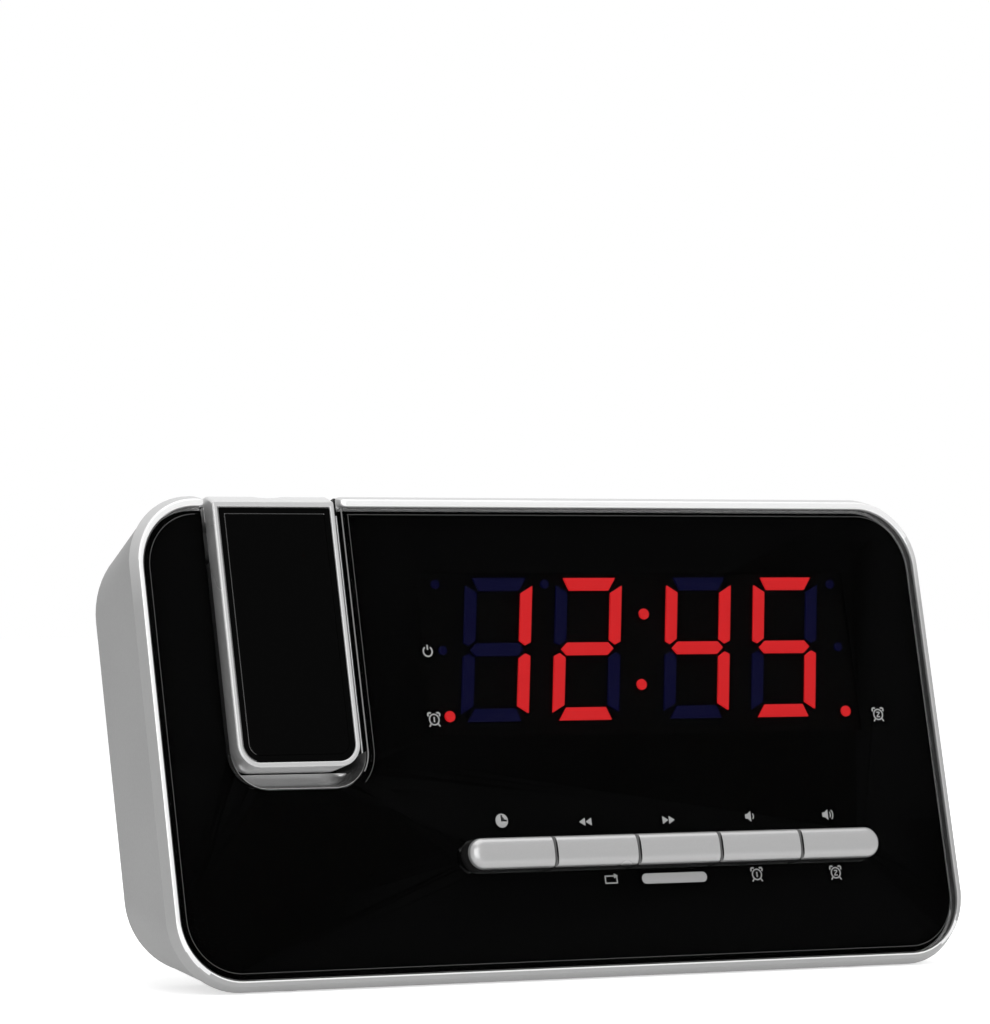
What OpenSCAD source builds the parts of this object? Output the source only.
// Projection alarm clock: a leaning radio clock with a swing-out projector arm.
// Lengths are in millimetres.  Most pieces are drawn in the face frame and then leaned back:
// x runs along the face, y is the depth behind the face plane and z runs up the face, from the
// lower edge of the front lens.

/* [Front] */
// Width of the black front lens
lens_w = 187; // [178:1:196]
// Height of the black front lens
lens_h = 98.3; // [96:0.5:104]
// Corner radius of the front lens
lens_r = 13; // [8:1:16]
// Thickness of the front lens
lens_t = 1.85; // [1.6:0.05:2.1]
// Angle at which the face leans back
lean = 14; // [8:1:18]
// Width of the flat silver lip around the lens
lip_w = 1.3; // [0.8:0.1:2]
// Height of that lip above the lens
lip_rise = 0.5; // [0.3:0.1:1]
// Reach of the bezel's widest edge beyond the lens, at the sides and below
flare_w = 2; // [1.6:0.1:3]
// Reach of the bezel's widest edge above the lens
crown_w = 2.9; // [2:0.1:3.4]
// Depth of the bezel's widest edge behind the face
flare_d = 2.6; // [2.5:0.1:3.2]
// Thickness of the plate behind the lens
plate_t = 1.3; // [1:0.1:1.5]

/* [Case] */
// Depth of the rear edge of the case
case_d = 26; // [24.5:0.5:29]
// Narrowing of the case from the bezel to its rear edge, each side
case_taper = 2.8; // [2:0.1:5]
// Rise of the case's lower wall from the lens edge to its rear edge
case_rise = 6.2; // [5:0.1:8]
// Drop of the case's upper wall from the bezel to its rear edge
case_drop = 2.1; // [1:0.1:5]
// Radius of the case's lower rear corners
case_r_low = 15; // [12:1:20]
// Radius of the case's upper rear corners
case_r_top = 19; // [12:1:20]
// Wall of the case
wall = 2.2; // [1.8:0.1:2.4]
// Depth of the back of the rear pod
pod_d = 43; // [41:0.5:47]
// Half width of the back of the rear pod
pod_half = 64; // [62:1:68]
// Height of the upper edge of the pod's back, along the face
pod_top = 66; // [64:1:70]
// Corner radius of the rear pod
pod_r = 12; // [9:1:14]
// Height of the front of the base above the table
foot_gap = 0.3; // [0.2:0.05:1]
// Radius of a rubber foot
foot_r = 5; // [4:0.5:6]

/* [Projector arm] */
// Distance of the arm's centre line from the left edge of the lens
arm_inset = 31; // [30:0.5:32.5]
// Width of the arm
arm_w = 28.2; // [27:0.2:29]
// Length of the arm, from its lower end to the level of the lens's upper edge
arm_len = 54.8; // [51:0.2:55.2]
// Depth of the arm's back behind the face
arm_d = 14; // [13.5:0.1:14.2]
// Radius of the arm's lower corners
arm_r = 5; // [3:0.5:7]
// Width of the silver rim around the arm's panel
arm_rim = 1.1; // [0.8:0.1:1.6]
// Wall of the arm
arm_wall = 1.6; // [1.4:0.1:1.7]
// Gap between the arm and the cradle on each side
arm_gap = 1.7; // [1.5:0.1:2]
// Width of the bright trim between lens and cradle
trim_w = 0.5; // [0.3:0.1:0.8]
// Depth of the hinge axis behind the face
hinge_d = 7; // [6.8:0.1:7.2]
// Distance of the hinge axis below the top of the lens
hinge_down = 7.3; // [7:0.1:8]
// Radius of a hinge pin
pin_r = 2; // [1.5:0.1:2.4]
// Running clearance of a hinge pin
pin_gap = 0.05; // [0.02:0.01:0.1]
// Radius of the projection lens barrel
barrel_r = 3.4; // [3:0.1:3.6]
// Travel of the projection lens, each way
focus_travel = 0.6; // [0.4:0.1:0.8]

/* [Buttons] */
// Number of buttons in the row
button_n = 5; // [5:1:5]
// Distance of the right end of the button row from the right edge of the lens
row_inset = 20.05; // [19:0.05:22]
// Left end of the button row
button_x = -27.3; // [-30:0.1:-24]
// Height of a button along the face
button_h = 6.6; // [6:0.1:8]
// Height of the row's centre line above the lens's lower edge
button_z = 24; // [22:0.5:25]
// Rise of a button's crown above the face
button_rise = 4; // [3:0.1:5]
// Rise of a button's upper and lower edges above the face
button_edge = 2.5; // [2:0.1:2.8]
// Gap between neighbouring buttons
button_gap = 0.3; // [0.2:0.05:0.5]
// Travel of a button
button_travel = 0.8; // [0.5:0.1:0.9]
// Length of the snooze bar
snooze_len = 80; // [60:1:82]
// Width of the snooze bar
snooze_w = 9; // [8:0.2:9.6]
// Rise of the snooze bar above the case
snooze_rise = 1.2; // [1:0.1:1.4]
// Distance of the snooze bar's centre from the clock's centre
snooze_x = 22; // [18:1:24]

/* [Display] */
// Height of a digit
digit_h = 30.8; // [28:0.2:31]
// Width of a digit
digit_w = 16.1; // [15:0.1:16.6]
// Width of a digit's segments
seg_w = 2.7; // [2:0.1:3]
// Gap between two segments
seg_gap = 0.8; // [0.4:0.1:1]
// Cut of the segments' outer corners
seg_trim = 1.15; // [0.6:0.05:1.4]
// Sideways slant of the digits, for each unit of height
slant = 0.164; // [0:0.01:0.18]
// Distance of the digits' lower edge below the upper edge of the lens
digit_down = 45.4; // [44:0.1:46]
// Radius of a small round indicator
dot_r = 1.15; // [0.8:0.05:1.5]

/* [Hidden] */

$fn = 64;
corner_fn = 32;
thin = 0.02;
fit = 0.3;
slip = 0.1;
run = 0.05;

lens_half = lens_w / 2;
bezel_half = lens_half + flare_w;
case_half = bezel_half - case_taper;
bezel_top = lens_h + crown_w;
case_top = bezel_top - case_drop;
case_chamfer = 1.5;
case_back = case_d + case_chamfer;
plate_d0 = 2;
plate_d1 = plate_d0 + plate_t;
seam_step = 0.2;

// The lean puts the bezel's lowest line just above the table and the case's box over the origin.
face_z = foot_gap + flare_w * cos(lean) + flare_d * sin(lean);
front_y = -lip_w * sin(lean) - lip_rise * cos(lean);
back_y = pod_top * sin(lean) + pod_d * cos(lean);
face_y = -(front_y + back_y) / 2;

// Arm and cradle
arm_x = lens_half - arm_inset;
arm_left = -arm_x - arm_w / 2;
arm_right = -arm_x + arm_w / 2;
arm_top = bezel_top;
arm_low = lens_h - arm_len;
hinge_z = lens_h - hinge_down;
roof_slope = case_drop / (case_d - flare_d);
arm_rear_top = arm_top - (arm_d - flare_d) * roof_slope;
pocket_left = arm_left - arm_gap;
pocket_right = arm_right + arm_gap;
scoop_room = 4.6;
pocket_low = arm_low - scoop_room;
pocket_r = 8;
pocket_shallow = arm_d + 1.2;
pocket_deep = hinge_d + 12.8;
cradle_wall = 1.3;
optic_d = 6.8;
lid_d = 9;

// Buttons
slot_gap = 0.4;
button_pitch = (lens_half - row_inset - button_x) / button_n;
button_row = button_n * button_pitch;
button_end_r = button_h / 2;
flange_t = 1.5;
stem_r = 1.7;
switch_d = 6.3;
switch_h = 3.5;
switch_w = 6;
button_board_d = switch_d + switch_h;
board_t = 1.6;
stem_room = 0.8;
stem_end = button_board_d - stem_room - button_travel;

// Display
digit_z = lens_h - digit_down;
first_digit = -22.6;
digit_pitch = 22;
pair_pitch = 49.35;
digit_x = [for (pair = [0, 1], one = [0, 1]) first_digit + pair * pair_pitch + one * digit_pitch];
digit_on = ["bc", "abged", "fgbc", "afgcd"];
segments = "abcdefg";
display_d = 2.9;
glow_t = 0.5;
module_x0 = first_digit - 8.4;
module_x1 = first_digit + pair_pitch + digit_pitch + digit_w + 12.1;
module_z0 = digit_z - 3.9;
module_z1 = digit_z + digit_h + 1.9;
display_board_d = 8;
board_x0 = module_x0 - 4;
board_x1 = module_x1 + 4;
board_z0 = module_z0 - 4;
board_z1 = module_z1 + 1.6;
main_board_d = 14;
main_z1 = board_z1 - 4.4;

// ---- helpers -------------------------------------------------------------------------------

// Places what is drawn in the face frame into the leaning clock
module leaned() {
    translate([0, face_y, face_z]) rotate([-lean, 0, 0]) children();
}

// Turns an outline drawn in x and height into a sheet from depth d0 to d1
module sheet(d0, d1) {
    translate([0, d1, 0]) rotate([90, 0, 0]) linear_extrude(d1 - d0) children();
}

module round_rect(x0, z0, x1, z1, r) {
    translate([x0 + r, z0]) square([x1 - x0 - 2 * r, z1 - z0]);
    translate([x0, z0 + r]) square([x1 - x0, z1 - z0 - 2 * r]);
    for (x = [x0 + r, x1 - r], z = [z0 + r, z1 - r]) translate([x, z]) circle(r);
}

module lens_outline(grow) {
    round_rect(-lens_half - grow, -grow, lens_half + grow, lens_h + grow, lens_r + grow);
}

// Outline with a straight top and round lower corners
module pocket_outline(x0, z0, x1, z1, r) {
    translate([x0 + r, z0]) square([x1 - x0 - 2 * r, z1 - z0]);
    translate([x0, z0 + r]) square([x1 - x0, z1 - z0 - r]);
    for (x = [x0 + r, x1 - r]) translate([x, z0 + r]) circle(r);
}

// Four thin corner discs that a hull joins into a level of the case
module level(half, z0, z1, r0, r1, d) {
    for (side = [-1, 1]) {
        translate([side * (half - r0), d, z0 + r0]) rotate([-90, 0, 0])
            cylinder(r = r0, h = thin, $fn = corner_fn);
        translate([side * (half - r1), d, z1 - r1]) rotate([-90, 0, 0])
            cylinder(r = r1, h = thin, $fn = corner_fn);
    }
}

// The case's outer or, with an inset, inner form: body and rear pod
module case_body(inset) {
    hull() {
        level(bezel_half - seam_step - inset, -flare_w + seam_step + inset,
              bezel_top - seam_step - inset, lens_r + flare_w - inset,
              lens_r + flare_w - inset, flare_d - (inset > 0 ? thin : 0));
        level(case_half - inset, case_rise + inset, case_top - inset,
              case_r_low - inset, case_r_top - inset, case_d - thin - inset / 2);
        level(case_half - case_chamfer - inset, case_rise + case_chamfer + inset,
              case_top - case_chamfer - inset, case_r_low - case_chamfer - inset,
              case_r_top - case_chamfer - inset, case_back - thin - inset);
    }
}

pod_low = case_rise + 1.5;
pod_back_low = pod_low + (pod_d - case_d) * tan(lean);

module pod_body(inset) {
    hull() {
        level(pod_half + 10 - inset, pod_low + inset, pod_top + 12 - inset,
              pod_r - inset, pod_r - inset, case_d - 3 - inset);
        level(pod_half - inset, pod_back_low + inset, pod_top - inset,
              pod_r - inset, pod_r - inset, pod_d - thin - inset);
    }
}

module along_depth(x, z, d0, d1, r) {
    translate([x, d0, z]) rotate([-90, 0, 0]) cylinder(r = r, h = d1 - d0);
}

module across(x0, x1, d, z, r) {
    translate([x0, d, z]) rotate([0, 90, 0]) cylinder(r = r, h = x1 - x0);
}

module upright(x, d, z0, z1, r) {
    translate([x, d, z0]) cylinder(r = r, h = z1 - z0);
}

module block(x0, x1, d0, d1, z0, z1) {
    translate([x0, d0, z0]) cube([x1 - x0, d1 - d0, z1 - z0]);
}

screw_low = [case_half - 10.7, case_rise + 13.8];
screw_high = [case_half - 8.2, lens_h - 14.3];
case_screws_at = [for (side = [-1, 1], at = [screw_low, screw_high]) [side * at[0], at[1]]];
boss_r = 3;
screw_r = 1.45;
hole_gap = 0.05;
boss_end = case_back - wall - 2.3;
head_r = 2.7;
head_t = 1.2;

// ---- case ----------------------------------------------------------------------------------

speaker_x = 30 - pod_half;
speaker_z = (pod_back_low + pod_top) / 2;
speaker_r = 18;
slot_n = 7;
slot_step = 4;
slot_w = 2;
door_x0 = pod_half - 58;
door_z0 = 26;
door_z1 = 56;
door_t = 1.4;
door_travel = 50;
jack_x = pod_half - 15;
jack_z = 20;
jack_r = 4.2;
grommet_x = 0;
grommet_z = 20;
grommet_r = 2.6;

module door_space(gap) {
    block(door_x0 - gap, pod_half + 20, pod_d - door_t - gap, pod_d + 1, door_z0 - gap, door_z1 + gap);
}

module pod_back_cuts() {
    for (i = [0 : slot_n - 1]) {
        z = (i - (slot_n - 1) / 2) * slot_step;
        half = sqrt(pow(speaker_r - 2, 2) - z * z) - slot_w / 2;
        block(speaker_x - half, speaker_x + half, pod_d - wall - 1, pod_d + 1,
              speaker_z + z - slot_w / 2, speaker_z + z + slot_w / 2);
        for (side = [-1, 1])
            along_depth(speaker_x + side * half, speaker_z + z, pod_d - wall - 1, pod_d + 1, slot_w / 2);
    }
    door_space(fit / 2);
    block(door_x0 + 3, pod_half - 5, pod_d - wall - 1, pod_d, door_z0 + 3, door_z1 - 3);
    along_depth(jack_x, jack_z, pod_d - wall - 1, pod_d + 1, jack_r);
    along_depth(grommet_x, grommet_z, pod_d - wall - 1, pod_d + 1, grommet_r);
}

// The tilt of the roof, and a point on it, carry the snooze bar
roof_tilt = atan(roof_slope);
snooze_d = 13;
roof_z = bezel_top - (snooze_d - flare_d) * roof_slope;

module on_roof() {
    translate([snooze_x, snooze_d, roof_z]) rotate([-roof_tilt, 0, 0]) children();
}

module bar_block(len, w, z0, z1) {
    translate([-(len - w) / 2, -w / 2, z0]) cube([len - w, w, z1 - z0]);
    for (side = [-1, 1]) translate([side * (len - w) / 2, 0, z0]) cylinder(d = w, h = z1 - z0);
}

bar_lip = 3;
snooze_board_top = -8.4;
snooze_board_t = 1.4;
snooze_post_x = snooze_len / 2 + 6;
snooze_board_w = 7.6;

module rear_housing() color("silver") leaned() {
    difference() {
        union() {
            difference() {
                union() {
                    case_body(0);
                    pod_body(0);
                }
                case_body(wall);
                pod_body(wall);
            }
            for (at = case_screws_at)
                along_depth(at[0], at[1], boss_end, case_back - 0.6, boss_r + 0.4);
        }
        // The cradle's room in the roof
        block(pocket_left - cradle_wall - slip, pocket_right + cradle_wall + slip, 0,
              pocket_deep + cradle_wall + slip, pocket_low, arm_top + 5);
        for (at = case_screws_at) {
            along_depth(at[0], at[1], boss_end - 1, case_back + 1, screw_r + 0.2);
            along_depth(at[0], at[1], case_back - head_t, case_back + 1, head_r + fit);
        }
        pod_back_cuts();
        on_roof() {
            bar_block(snooze_len + 2 * fit, snooze_w + 2 * fit, -wall - 2, 5);
            bar_block(snooze_len + bar_lip + 2 * fit, snooze_w + bar_lip / 2 + 2 * fit, -wall - 3, -wall);
        }
    }
}

plate_inset = 1;
skirt_inset = 2.2;
skirt_t = 2;
skirt_h = 2;

module front_bezel() color([0.86, 0.86, 0.87]) leaned() {
    difference() {
        union() {
            difference() {
                hull() {
                    level(lens_half + lip_w, -lip_w, lens_h + lip_w, lens_r + lip_w,
                          lens_r + lip_w, -lip_rise);
                    level(bezel_half, -flare_w, bezel_top, lens_r + flare_w,
                          lens_r + flare_w, flare_d - thin);
                }
                sheet(-5, plate_d0) lens_outline(slip);
                sheet(plate_d0 - 1, 9) lens_outline(-plate_inset);
            }
            sheet(plate_d0, plate_d1) lens_outline(-plate_inset);
            difference() {
                sheet(plate_d1 - 0.5, plate_d1 + skirt_h) lens_outline(-skirt_inset);
                sheet(plate_d1 - 1, plate_d1 + skirt_h + 1) lens_outline(-skirt_inset - skirt_t);
            }
            for (at = case_screws_at)
                along_depth(at[0], at[1], plate_d1 - 0.5, boss_end, boss_r);
            for (x = [board_x0 + 3, board_x1 - 3], z = [board_z0 + 2.2, board_z1 - 2.2])
                along_depth(x, z, plate_d1 - 0.5, display_board_d, 2);
        }
        block(pocket_left, pocket_right, -5, flare_d + 1, hinge_z, arm_top + 5);
        sheet(plate_d0 - 0.5, 9)
            pocket_outline(pocket_left - cradle_wall - slip, pocket_low - cradle_wall - slip,
                           pocket_right + cradle_wall + slip, lens_h - plate_inset,
                           pocket_r + cradle_wall + slip);
        block(pocket_left - cradle_wall - slip, pocket_right + cradle_wall + slip, flare_d, 30,
              hinge_z, arm_top + 5);
        block(module_x0 - slip, module_x1 + slip, 0, 9, module_z0 - slip, module_z1 + slip);
        block(button_x - 4, button_x + button_row + 4, 0, 9, button_z - 5, button_z + 5);
        for (at = case_screws_at)
            along_depth(at[0], at[1], boss_end - 8, boss_end + 1, screw_r + hole_gap);
        for (x = [board_x0 + 3, board_x1 - 3], z = [board_z0 + 2.2, board_z1 - 2.2])
            along_depth(x, z, plate_d1 + 0.5, display_board_d + 1, 0.85);
    }
}

module slot_outline(grow) {
    round_rect(button_x - grow, button_z - button_end_r - grow, button_x + button_row + grow,
               button_z + button_end_r + grow, button_end_r + grow - 0.01);
}

module lens_cuts() {
    sheet(-1, 9) pocket_outline(pocket_left, pocket_low, pocket_right, arm_top + 5, pocket_r);
    sheet(-1, 9) slot_outline(slot_gap);
}

module front_lens() color([0.03, 0.03, 0.035, 0.9]) leaned() difference() {
    sheet(0, lens_t) lens_outline(0);
    lens_cuts();
}

module lens_mask() color([0.02, 0.02, 0.02]) leaned() difference() {
    sheet(lens_t, plate_d0) lens_outline(-0.4);
    lens_cuts();
    block(module_x0 + 1, module_x1 - 1, 0, 9, module_z0 + 0.5, module_z1 - 1);
}

trim_t = 0.8;
trim_reach = 0.15;
cradle_d = plate_d0 + trim_t + slip;

module cradle_side(x0, x1) {
    translate([x0, 0, 0]) rotate([90, 0, 90]) linear_extrude(x1 - x0) polygon([
        [cradle_d, pocket_low - cradle_wall], [pocket_shallow + cradle_wall, pocket_low - cradle_wall],
        [pocket_deep + cradle_wall, hinge_z - 14], [pocket_deep + cradle_wall,
         arm_top - (pocket_deep + cradle_wall - flare_d) * roof_slope - seam_step],
        [cradle_d, arm_top - (cradle_d - flare_d) * roof_slope - seam_step]]);
}

// The cradle's hollow, seen from the side: deeper around the hinge, where the arm's top swings
module cradle_room(x0, x1) {
    translate([x0, 0, 0]) rotate([90, 0, 90]) linear_extrude(x1 - x0) polygon([
        [-1, pocket_low - 5], [pocket_shallow, pocket_low - 5], [pocket_shallow, hinge_z - 13],
        [pocket_deep, hinge_z - 12.8], [pocket_deep, arm_top + 5], [-1, arm_top + 5]]);
}

module arm_cradle() color([0.1, 0.1, 0.11]) leaned() difference() {
    intersection() {
        cradle_side(pocket_left - cradle_wall, pocket_right + cradle_wall);
        sheet(-1, 30) pocket_outline(pocket_left - cradle_wall, pocket_low - cradle_wall,
              pocket_right + cradle_wall, arm_top + 5, pocket_r + cradle_wall);
    }
    intersection() {
        cradle_room(pocket_left, pocket_right);
        sheet(-2, 30) pocket_outline(pocket_left, pocket_low, pocket_right, arm_top + 6, pocket_r);
    }
    across(pocket_left - 5, pocket_right + 5, hinge_d, hinge_z, pin_r + pin_gap);
}

module finger_scoop() color([0.75, 0.75, 0.76]) leaned() intersection() {
    translate([pocket_left, 0, 0]) rotate([90, 0, 90]) linear_extrude(pocket_right - pocket_left) polygon([
        [0.3, pocket_low - 1], [0.3, pocket_low + 0.3], [hinge_d - 1, arm_low - 0.5],
        [pocket_shallow, arm_low + 1.2], [pocket_shallow, pocket_low - 1]]);
    sheet(0, 30) pocket_outline(pocket_left + trim_reach + slip, pocket_low + trim_reach + slip,
          pocket_right - trim_reach - slip, arm_top, pocket_r - trim_reach);
}

module cradle_trim() color([0.9, 0.9, 0.9]) leaned() difference() {
    sheet(plate_d0, plate_d0 + trim_t) pocket_outline(pocket_left - trim_w, pocket_low - trim_w,
          pocket_right + trim_w, lens_h - plate_inset - slip, pocket_r + trim_w);
    sheet(-1, 9) pocket_outline(pocket_left + trim_reach, pocket_low + trim_reach,
          pocket_right - trim_reach, arm_top + 9, pocket_r - trim_reach);
}

// ---- display and boards --------------------------------------------------------------------

// One segment of a digit whose lower left corner is at the origin, before the slant
function segment(s, w = digit_w, h = digit_h, t = seg_w, k = seg_gap * 0.7, c = seg_trim) =
    s == "a" ? [[k + c, h], [w - k - c, h], [w - t - k, h - t], [t + k, h - t]] :
    s == "g" ? [[k + c, h / 2], [t / 2 + k + c, (h + t) / 2], [w - t / 2 - k - c, (h + t) / 2],
                [w - k - c, h / 2], [w - t / 2 - k - c, (h - t) / 2], [t / 2 + k + c, (h - t) / 2]] :
    s == "b" ? [[w, h - k - c], [w, h / 2 + k + 0.8 * c], [w - 0.45 * t, h / 2 + k + 0.3 * c],
                [w - t, (h + t) / 2 + k], [w - t, h - t - k]] :
    s == "c" ? [for (p = segment("b", w, h, t, k)) [p[0], h - p[1]]] :
    s == "d" ? [for (p = segment("a", w, h, t, k)) [p[0], h - p[1]]] :
    s == "f" ? [for (p = segment("b", w, h, t, k)) [w - p[0], p[1]]] :
    [for (p = segment("b", w, h, t, k)) [w - p[0], h - p[1]]];

function slanted(points) = [for (p = points) [p[0] + slant * p[1], p[1]]];
function is_on(i, s) = len(search(s, digit_on[i])) > 0;

// Round indicators, from the lower left corner of the first digit
dots_on = [[47.6, 22.9], [44.9, 7.5], [-2.5, 1.2], [95.6, 1.0]];
dots_off = [[-2.4, 29.5], [-2.4, 15.3], [24.0, 29.5], [95.8, 29.3], [95.8, 15.3]];

module glow(on) {
    for (i = [0 : len(digit_x) - 1], s = segments)
        if (is_on(i, s) == on)
            translate([digit_x[i], 0, digit_z]) sheet(display_d - glow_t, display_d)
                polygon(slanted(segment(s)));
    for (at = on ? dots_on : dots_off)
        along_depth(first_digit + at[0], digit_z + at[1], display_d - glow_t, display_d,
                    on ? dot_r : dot_r * 0.8);
}

module segments_lit() color("red") leaned() glow(true);
module segments_unlit() color([0.06, 0.06, 0.2]) leaned() glow(false);

module display_module() color([0.05, 0.05, 0.05]) leaned()
    block(module_x0, module_x1, display_d, display_board_d, module_z0, module_z1);

module plate_with_holes(x0, x1, d0, z0, z1, inset_x, inset_z, r) difference() {
    block(x0, x1, d0, d0 + board_t, z0, z1);
    for (x = [x0 + inset_x, x1 - inset_x], z = [z0 + inset_z, z1 - inset_z])
        along_depth(x, z, d0 - 1, d0 + board_t + 1, r);
}

module display_board() color("darkgreen") leaned()
    plate_with_holes(board_x0, board_x1, display_board_d, board_z0, board_z1, 3, 2.2, 1);

spacer_x = [board_x0 + 10, board_x1 - 10];
spacer_z = [board_z0 + 4, main_z1 - 4];

module board_spacers() color("gold") leaned() for (x = spacer_x, z = spacer_z)
    translate([x, main_board_d, z]) rotate([90, 0, 0])
        cylinder(d = 5, h = main_board_d - display_board_d - board_t, $fn = 6);

module main_board() color("darkgreen") leaned() difference() {
    block(board_x0, board_x1, main_board_d, main_board_d + board_t, board_z0, main_z1);
    for (x = spacer_x, z = spacer_z) along_depth(x, z, main_board_d - 1, main_board_d + 3, 1);
}

main_back = main_board_d + board_t;

module main_chip() color([0.1, 0.1, 0.1]) leaned() {
    chip_z = (board_z0 + main_z1) / 2;
    block(-6, 6, main_back, main_back + 1.6, chip_z - 6, chip_z + 6);
    block(14, 22, main_back, main_back + 1.5, chip_z - 2.5, chip_z + 2.5);
}

module capacitors() color("navy") leaned()
    for (i = [0 : 2]) along_depth(board_x1 - 47 + i * 8.5, main_z1 - 10, main_back, main_back + 6, 3);

module ribbon_cable() color([0.8, 0.8, 0.8]) leaned()
    block(board_x1 - 26, board_x1 - 14, display_board_d + board_t, main_board_d,
          board_z0 + 16, board_z0 + 16.6);

module button_centres() for (i = [0 : button_n - 1])
    translate([button_x + (i + 0.5) * button_pitch, 0, button_z]) children();

module button_board() color("darkgreen") leaned()
    plate_with_holes(button_x - 5, button_x + button_row + 5, button_board_d, button_z - 10, button_z + 10,
                     3, 3, 1);

module button_switches() color([0.15, 0.15, 0.15]) leaned() button_centres() difference() {
    block(-switch_w / 2, switch_w / 2, switch_d, button_board_d, -switch_w / 2, switch_w / 2);
    along_depth(0, 0, switch_d - 1, button_board_d - 0.5, stem_r + slip);
}

guide_x0 = button_x - 5;
guide_x1 = button_x + button_row + 5;
guide_z = 12;

// A tray behind the button opening of the bezel: it guides the stems and holds the board
module button_guide() color([0.12, 0.12, 0.12]) leaned() difference() {
    union() {
        block(guide_x0, guide_x1, plate_d1 + 2.2, plate_d1 + 2.8, button_z - guide_z, button_z + guide_z);
        difference() {
            block(guide_x0, guide_x1, plate_d1, plate_d1 + 2.8, button_z - guide_z, button_z + guide_z);
            block(button_x - 3, button_x + button_row + 3, 0, 9, button_z - 6, button_z + 6);
        }
        for (x = [button_x - 2, button_x + button_row + 2], z = [button_z - 7, button_z + 7])
            along_depth(x, z, plate_d1 + 1, button_board_d, 2.2);
    }
    button_centres() along_depth(0, 0, 0, 9, stem_r + slip);
    for (x = [button_x - 2, button_x + button_row + 2], z = [button_z - 7, button_z + 7])
        along_depth(x, z, plate_d1 + 3, button_board_d + 1, 0.85);
}

module snooze_board() color("darkgreen") leaned() on_roof() difference() {
    translate([-snooze_post_x - 3, -snooze_board_w / 2, snooze_board_top - snooze_board_t])
        cube([2 * snooze_post_x + 6, snooze_board_w, snooze_board_t]);
    for (side = [-1, 1]) translate([side * snooze_post_x, 0, snooze_board_top - 5]) cylinder(r = 1, h = 9);
}

module snooze_switch() color([0.15, 0.15, 0.15]) leaned() on_roof() {
    difference() {
        translate([-switch_w / 2, -switch_w / 2, snooze_board_top]) cube([switch_w, switch_w, switch_h]);
        translate([0, 0, snooze_board_top + 0.5]) cylinder(r = stem_r + slip, h = switch_h + 1);
    }
    for (side = [-1, 1]) translate([side * snooze_post_x, 0, snooze_board_top])
        difference() {
            cylinder(r = 2.4, h = -snooze_board_top - wall - 0.5);
            translate([0, 0, -1]) cylinder(r = 0.85, h = 5);
        }
}

module board_screws() color("silver") leaned() {
    for (x = [board_x0 + 3, board_x1 - 3], z = [board_z0 + 2.2, board_z1 - 2.2]) {
        along_depth(x, z, plate_d1 + 2, display_board_d + board_t, 0.8);
        along_depth(x, z, display_board_d + board_t, display_board_d + board_t + 1, 1.7);
    }
    for (x = spacer_x, z = spacer_z) along_depth(x, z, main_back, main_back + 1, 1.9);
    for (x = [button_x - 2, button_x + button_row + 2], z = [button_z - 7, button_z + 7]) {
        along_depth(x, z, plate_d1 + 4, button_board_d + board_t, 0.8);
        along_depth(x, z, button_board_d + board_t, button_board_d + board_t + 1, 1.7);
    }
    on_roof() for (side = [-1, 1])
        translate([side * snooze_post_x, 0, snooze_board_top - snooze_board_t - 1]) {
            cylinder(r = 1.7, h = 1);
            cylinder(r = 0.8, h = 5);
        }
}

// ---- rear pod ------------------------------------------------------------------------------

pod_in = pod_d - wall;

module speaker_frame() color([0.3, 0.3, 0.3]) leaned() difference() {
    along_depth(speaker_x, speaker_z, pod_in - 8, pod_in, speaker_r);
    along_depth(speaker_x, speaker_z, pod_in - 6.8, pod_in + 1, speaker_r - 1.4);
    along_depth(speaker_x, speaker_z, pod_in - 9, pod_in, 7.1);
}

module speaker_cone() color([0.15, 0.15, 0.15]) leaned() difference() {
    translate([speaker_x, pod_in - 6.4, speaker_z]) rotate([-90, 0, 0])
        rotate_extrude()
            polygon([[0, 0], [6, 0], [speaker_r - 1.5, 4], [speaker_r - 1.5, 5], [6, 1], [0, 1.4]]);
}

module speaker_magnet() color("gray") leaned() {
    along_depth(speaker_x, speaker_z, pod_in - 15, pod_in - 8.1, 11);
    along_depth(speaker_x, speaker_z, pod_in - 8.2, pod_in - 6.6, 7);
}

cell_r = 5.25;
cell_len = 44;
cell_x = door_x0 + 28;
cell_d = pod_in - 1 - cell_r;
cell_z = [door_z0 + 3 + cell_r + 1.2, door_z1 - 3 - cell_r - 1.2];
tray_x0 = cell_x - cell_len / 2 - 3;
tray_x1 = cell_x + cell_len / 2 + 3;

module battery_tray() color([0.15, 0.15, 0.15]) leaned() difference() {
    block(tray_x0 - 1.2, tray_x1 + 1.2, cell_d - cell_r - 1.8, pod_in - slip, door_z0 + 1.4, door_z1 - 1.4);
    block(tray_x0, tray_x1, cell_d - cell_r - 0.4, pod_in + 1, door_z0 + 3, door_z1 - 3);
}

module backup_cells() color("orange") leaned() for (z = cell_z) {
    across(cell_x - cell_len / 2, cell_x + cell_len / 2 - 1, cell_d, z, cell_r);
    across(cell_x + cell_len / 2 - 1, cell_x + cell_len / 2, cell_d, z, 2);
}

module battery_contacts() color("silver") leaned() for (z = cell_z) {
    block(tray_x0 + thin, tray_x0 + 0.5, cell_d - 4, cell_d + 4, z - 4, z + 4);
    across(tray_x0 + 0.5, cell_x - cell_len / 2 - slip / 2, cell_d, z, 2.4);
    block(tray_x1 - 0.5, tray_x1 - thin, cell_d - 4, cell_d + 4, z - 4, z + 4);
    across(cell_x + cell_len / 2 + slip / 2, tray_x1 - 0.5, cell_d, z, 1.6);
}

module battery_door() color("silver") leaned() difference() {
    intersection() {
        block(door_x0, pod_half + 20, pod_d - door_t, pod_d + 1, door_z0, door_z1);
        pod_body(0);
    }
    for (i = [0 : 3]) along_ridge(door_x0 + 5 + i * 2.4);
}

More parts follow.
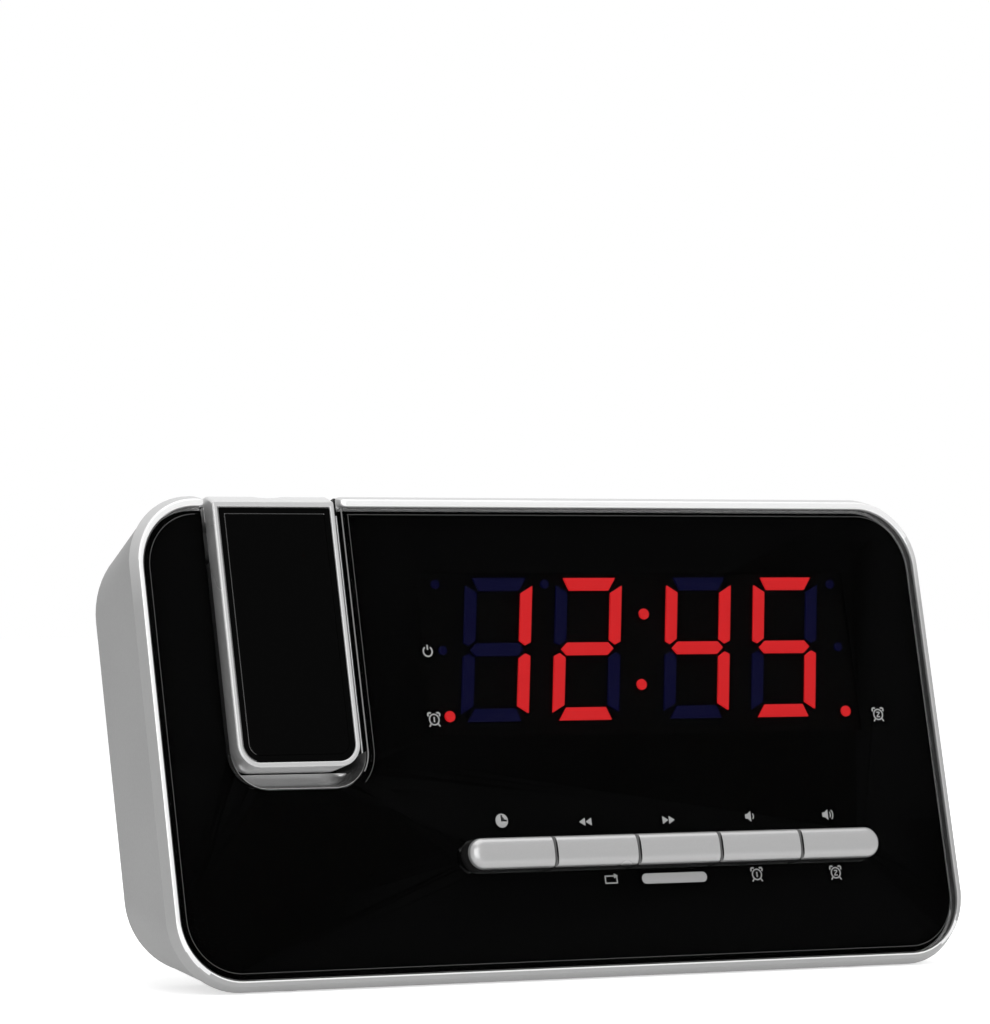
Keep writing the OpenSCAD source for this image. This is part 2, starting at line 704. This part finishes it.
// A finger groove across the door
module along_ridge(x) block(x, x + 1, pod_d - 0.5, pod_d + 2, door_z0 + 8, door_z1 - 8);

module dc_jack() color([0.12, 0.12, 0.12]) leaned() {
    difference() {
        union() {
            block(jack_x - 5, jack_x + 5, pod_in - 12, pod_in - slip, jack_z - 4.6, jack_z + 5);
            along_depth(jack_x, jack_z, pod_in - 1, pod_d, jack_r - slip);
        }
        along_depth(jack_x, jack_z, pod_d - 10, pod_d + 1, 2.75);
    }
    along_depth(jack_x, jack_z, pod_d - 10.5, pod_d - 1.2, 0.65);
}

module antenna_grommet() color([0.1, 0.1, 0.1]) leaned() difference() {
    union() {
        along_depth(grommet_x, grommet_z, pod_in - 1.4, pod_in, grommet_r + 1.2);
        along_depth(grommet_x, grommet_z, pod_in - 0.5, pod_d + 0.5, grommet_r - slip);
        along_depth(grommet_x, grommet_z, pod_d, pod_d + 0.9, grommet_r + 0.8);
    }
    along_depth(grommet_x, grommet_z, pod_in - 3, pod_d + 2, 0.8);
}

module case_screws() color([0.3, 0.3, 0.3]) leaned() for (at = case_screws_at) difference() {
    union() {
        along_depth(at[0], at[1], boss_end - 7, case_back - head_t, screw_r);
        along_depth(at[0], at[1], case_back - head_t, case_back - 0.1, head_r);
    }
    for (turn = [0, 90]) translate([at[0], case_back - 0.7, at[1]]) rotate([0, turn, 0])
        translate([-1.5, 0, -0.3]) cube([3, 3, 0.6]);
}

front_foot_y = face_y + 10;
rear_foot_y = face_y + pod_d - 1;
front_foot_x = case_half - 25;
rear_foot_x = pod_half - 10;

module rubber_feet() color([0.08, 0.08, 0.08]) difference() {
    union() {
        for (side = [-1, 1]) {
            translate([side * front_foot_x, front_foot_y, 0]) cylinder(r = foot_r, h = 4);
            translate([side * rear_foot_x, rear_foot_y, 0]) cylinder(r = foot_r, h = 9);
        }
    }
    leaned() {
        case_body(0);
        pod_body(0);
    }
}

// ---- projector arm -------------------------------------------------------------------------

module washer(x0, x1) difference() {
    across(x0, x1, hinge_d, hinge_z, 3.4);
    across(x0 - 1, x1 + 1, hinge_d, hinge_z, pin_r + 0.1);
}

module hinge_washers() color([0.2, 0.2, 0.2]) leaned() {
    washer(pocket_left + thin, arm_left - run);
    washer(arm_right + run, pocket_right - thin);
}

module lamp_lead() color([0.1, 0.1, 0.1]) leaned() {
    lead = [[pocket_right + cradle_wall + 0.75, hinge_d, hinge_z],
            [pocket_right + cradle_wall + 2.5, hinge_d + 3, hinge_z - 3],
            [board_x0 + 0.5, main_back + 1.4, main_z1 - 3], [board_x0 + 3, main_back + 0.65, main_z1 - 6]];
    for (i = [0 : len(lead) - 2]) hull() {
        translate(lead[i]) sphere(r = 0.6, $fn = 16);
        translate(lead[i + 1]) sphere(r = 0.6, $fn = 16);
    }
}

module arm_side(d0, d1) intersection() {
    translate([arm_left, 0, 0]) rotate([90, 0, 90]) linear_extrude(arm_w) polygon([
        [-lip_rise, arm_low], [hinge_d - 1, arm_low], [arm_d, arm_low + 6.5], [arm_d, arm_rear_top],
        [flare_d, arm_top], [-lip_rise, lens_h + lip_w]]);
    sheet(d0, d1) pocket_outline(arm_left, arm_low, arm_right, arm_top + 5, arm_r);
}

module arm_hollow() intersection() {
    translate([arm_left + arm_wall, 0, 0]) rotate([90, 0, 90]) linear_extrude(arm_w - 2 * arm_wall) polygon([
        [panel_back + 1.2, arm_low + arm_wall], [hinge_d - 1, arm_low + arm_wall],
        [arm_d - arm_wall, arm_low + 6.5 + arm_wall], [arm_d - arm_wall, arm_rear_top - arm_wall],
        [flare_d, arm_top - arm_wall - 0.4], [panel_back + 1.2, arm_top - arm_wall - 0.4]]);
    sheet(0, 30) pocket_outline(arm_left + arm_wall, arm_low + arm_wall, arm_right - arm_wall, arm_top + 5,
                                arm_r - arm_wall);
}

panel_t = 1.1;
panel_back = panel_t - lip_rise;
arm_screw_x = arm_w / 2 - arm_wall - 3.1;
arm_screws_at = [for (side = [-1, 1]) [side * arm_screw_x - arm_x, arm_low + 20.5]];

module panel_outline(gap) {
    x0 = arm_left + arm_rim - gap;
    x1 = arm_right - arm_rim + gap;
    z1 = lens_h - 0.3 + gap;
    intersection() {
        pocket_outline(x0, arm_low + arm_rim - gap, x1, z1, arm_r - arm_rim);
        square([1000, 2 * z1], center = true);
    }
}

module optic_hole(z0, z1, r) upright(-arm_x, optic_d, z0, z1, r);

module arm_shell() color("silver") leaned() difference() {
    union() {
        difference() {
            arm_side(-1, lid_d);
            arm_hollow();
        }
        for (at = arm_screws_at) along_depth(at[0], at[1], panel_back + 1, lid_d, 2.2);
        across(arm_left + 1, arm_left + 4.4, hinge_d, hinge_z, 4.4);
        across(arm_right - 4.4, arm_right - 1, hinge_d, hinge_z, 4.4);
    }
    sheet(-lip_rise - 1, panel_back) panel_outline(slip / 2);
    for (at = arm_screws_at) along_depth(at[0], at[1], panel_back + 2, lid_d + 1, 1.1);
    across(arm_left - 1, arm_left + 3.6, hinge_d, hinge_z, pin_r);
    across(arm_right - 3.6, arm_right + 1, hinge_d, hinge_z, pin_r);
    optic_hole(arm_top - 7, arm_top + 3, ring_r + 0.2);
}

module arm_panel() color([0.03, 0.03, 0.03]) leaned()
    sheet(-lip_rise, panel_back) panel_outline(0);

module arm_back_cover() color("silver") leaned() difference() {
    arm_side(lid_d + run, 30);
    arm_hollow();
    for (at = arm_screws_at) {
        along_depth(at[0], at[1], lid_d, arm_d + 1, 1.3);
        along_depth(at[0], at[1], arm_d - 1, arm_d + 1, 2.1);
    }
    across(arm_left - 1, arm_left + 5.5, hinge_d, hinge_z, 4.5);
    across(arm_right - 5.5, arm_right + 1, hinge_d, hinge_z, 4.5);
    optic_hole(arm_top - 8, arm_top + 3, ring_r + 0.2);
}

module hinge_pins() color("silver") leaned() {
    across(pocket_left - cradle_wall + 0.1, arm_left + 3.5, hinge_d, hinge_z, pin_r);
    across(arm_right - 3.5, pocket_right + cradle_wall - 0.1, hinge_d, hinge_z, pin_r);
}

module arm_screws() color("silver") leaned() for (at = arm_screws_at) {
    along_depth(at[0], at[1], panel_back + 3, arm_d - 1, 1.05);
    along_depth(at[0], at[1], arm_d - 1, arm_d - 0.2, 1.9);
}

ring_r = 5.2;
tube_r = 4.9;
holder_z = hinge_z - 12;
plate_z = holder_z - 3;
condenser_z = holder_z - 11;
lamp_z = holder_z - 22;
holder_r = barrel_r + run + 0.7;

module lamp_board() color("darkgreen") leaned()
    block(-arm_x - arm_w / 2 + arm_wall + 3.5, -arm_x + arm_w / 2 - arm_wall - 3.5, 2, 11.6,
          lamp_z - board_t, lamp_z);

module lamp_led() color([1, 0.3, 0.25]) leaned() {
    optic_hole(lamp_z, lamp_z + 5, 2.5);
    translate([-arm_x, optic_d, lamp_z + 5]) sphere(r = 2.5);
}

module optics_tube() color([0.08, 0.08, 0.08]) leaned() difference() {
    optic_hole(lamp_z, holder_z, tube_r);
    optic_hole(lamp_z - 1, holder_z + 1, tube_r - 0.8);
}

module condenser_lens() color([0.8, 0.85, 0.9, 0.4]) leaned()
    optic_hole(condenser_z, condenser_z + 3, tube_r - 0.85);

module image_plate() color([0.1, 0.1, 0.12]) leaned() optic_hole(plate_z, plate_z + 1, tube_r - 0.85);

module lens_holder() color([0.1, 0.1, 0.1]) leaned() difference() {
    union() {
        block(arm_left + arm_wall + slip, arm_right - arm_wall - slip, optic_d - tube_r - 0.1,
              optic_d + tube_r + 0.5, holder_z, holder_z + 1.4);
        optic_hole(holder_z, ring_z1 - 0.6, holder_r);
        optic_hole(ring_z0 - 1.2, ring_z0, ring_r);
    }
    optic_hole(holder_z - 1, ring_z1 + 1, barrel_r + run);
}

ring_z0 = arm_top - 5.4;
ring_z1 = arm_top - 1.2;
barrel_z0 = holder_z + 2.4 + focus_travel;
barrel_z1 = ring_z1 - 0.4 - focus_travel;

module focus_ring() color([0.12, 0.12, 0.12]) leaned() difference() {
    optic_hole(ring_z0 + run, ring_z1, ring_r);
    optic_hole(ring_z0 - 1, ring_z1 + 1, holder_r + run);
    for (i = [0 : 17]) translate([-arm_x, optic_d, ring_z1 - 1.2]) rotate([0, 0, i * 20])
        translate([ring_r - 0.25, -0.25, 0]) cube([1, 0.5, 3]);
}

module lens_barrel() color([0.15, 0.15, 0.15]) leaned() difference() {
    optic_hole(barrel_z0, barrel_z1, barrel_r);
    optic_hole(barrel_z0 - 1, barrel_z1 + 1, barrel_r - 0.8);
}

module projection_glass() color([0.7, 0.8, 0.9, 0.4]) leaned() {
    intersection() {
        optic_hole(barrel_z1 - 2.4, barrel_z1, barrel_r - 0.82);
        translate([-arm_x, optic_d, barrel_z1 - 6.2]) sphere(r = 6);
    }
    optic_hole(barrel_z0 + 0.5, barrel_z0 + 2.3, barrel_r - 0.82);
}

// ---- buttons -------------------------------------------------------------------------------

crown_r = (pow(button_end_r, 2) + pow(button_rise - button_edge, 2)) / (2 * (button_rise - button_edge));

module button(i) color([0.88, 0.88, 0.9]) leaned() {
    x0 = button_x + i * button_pitch + (i == 0 ? 0 : button_gap / 2);
    x1 = button_x + (i + 1) * button_pitch - (i == button_n - 1 ? 0 : button_gap / 2);
    intersection() {
        sheet(-button_rise - 1, plate_d0 + slip) slot_outline(0);
        block(x0, x1, -button_rise - 1, plate_d0 + slip, 0, 2 * button_z);
        union() {
            across(x0 - 1, x1 + 1, crown_r - button_rise, button_z, crown_r);
            block(x0 - 1, x1 + 1, crown_r - button_rise, plate_d0 + slip, 0, 2 * button_z);
        }
    }
    flange_grow = 0.8;
    block(x0 + 0.2, x1 - 0.2, plate_d0 + slip, plate_d0 + slip + flange_t,
          button_z - button_end_r - flange_grow, button_z + button_end_r + flange_grow);
    along_depth(button_x + (i + 0.5) * button_pitch, button_z, plate_d0 + flange_t, stem_end, stem_r);
}

module snooze_bar() color([0.85, 0.85, 0.86]) leaned() on_roof() {
    bar_block(snooze_len, snooze_w, -wall - slip, snooze_rise);
    bar_block(snooze_len + bar_lip, snooze_w + bar_lip / 2, -wall - slip - 1.4, -wall - slip);
    translate([0, 0, snooze_board_top + 1.6]) cylinder(r = stem_r, h = -snooze_board_top - wall - 1.7);
}

rear_housing();
front_bezel();
front_lens();
lens_mask();
arm_cradle();
finger_scoop();
cradle_trim();
display_module();
segments_lit();
segments_unlit();
display_board();
board_spacers();
main_board();
main_chip();
capacitors();
ribbon_cable();
button_board();
button_switches();
button_guide();
snooze_board();
snooze_switch();
speaker_frame();
speaker_cone();
speaker_magnet();
battery_tray();
backup_cells();
battery_contacts();
battery_door();
dc_jack();
antenna_grommet();
case_screws();
board_screws();
rubber_feet();
hinge_washers();
lamp_lead();
arm_shell();
arm_panel();
arm_back_cover();
hinge_pins();
arm_screws();
lamp_board();
lamp_led();
optics_tube();
condenser_lens();
image_plate();
lens_holder();
focus_ring();
lens_barrel();
projection_glass();
button(0);  // button_1
button(1);  // button_2
button(2);  // button_3
button(3);  // button_4
button(4);  // button_5
snooze_bar();
